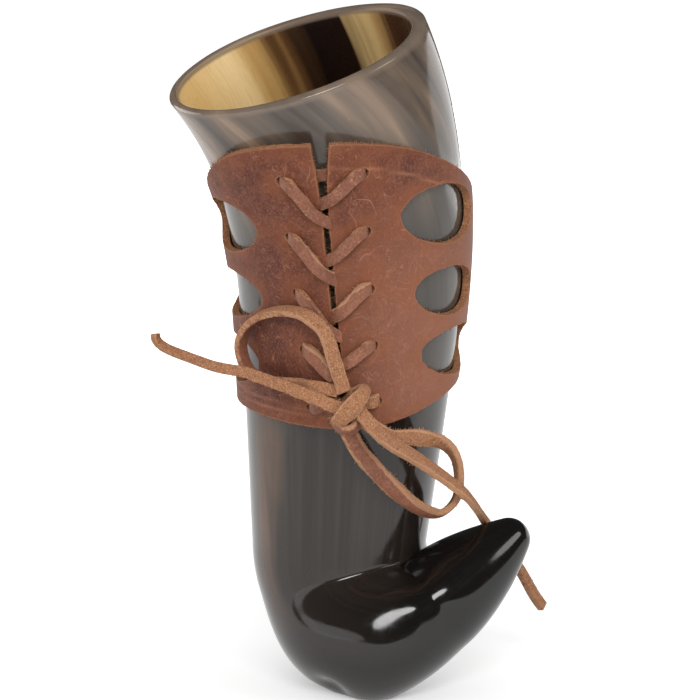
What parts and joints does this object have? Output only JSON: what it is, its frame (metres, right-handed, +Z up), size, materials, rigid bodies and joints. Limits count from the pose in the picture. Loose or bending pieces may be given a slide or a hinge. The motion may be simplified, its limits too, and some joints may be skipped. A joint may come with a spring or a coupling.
{
  "type": "drinking horn",
  "caption": "Polished drinking horn that stands on its bent-up tip, with a leather sleeve pierced by oval openings and laced up the front with a tied bow.",
  "frame": {"origin": "on the table, at the middle of the flat sole under the bend", "axes": "+Z up, towards the mouth; -Y towards the front, where the lacing is; +X to the right, seen from the front"},
  "size_m": [0.1213, 0.089, 0.2055],
  "materials": {
    "horn": "polished natural horn, grey-brown at the mouth and black at the tip, cream inside",
    "leather": "red-brown oiled leather with cut edges",
    "lace": "tan suede lace with a rough flesh side"
  },
  "bodies": {
    "root": {"horn": "horn", "leather_sleeve": "leather", "lacing": "lace", "bow_knot": "lace", "left_loop": "lace", "right_loop": "lace", "left_tail": "lace", "right_tail": "lace"}
  },
  "joints": []
}
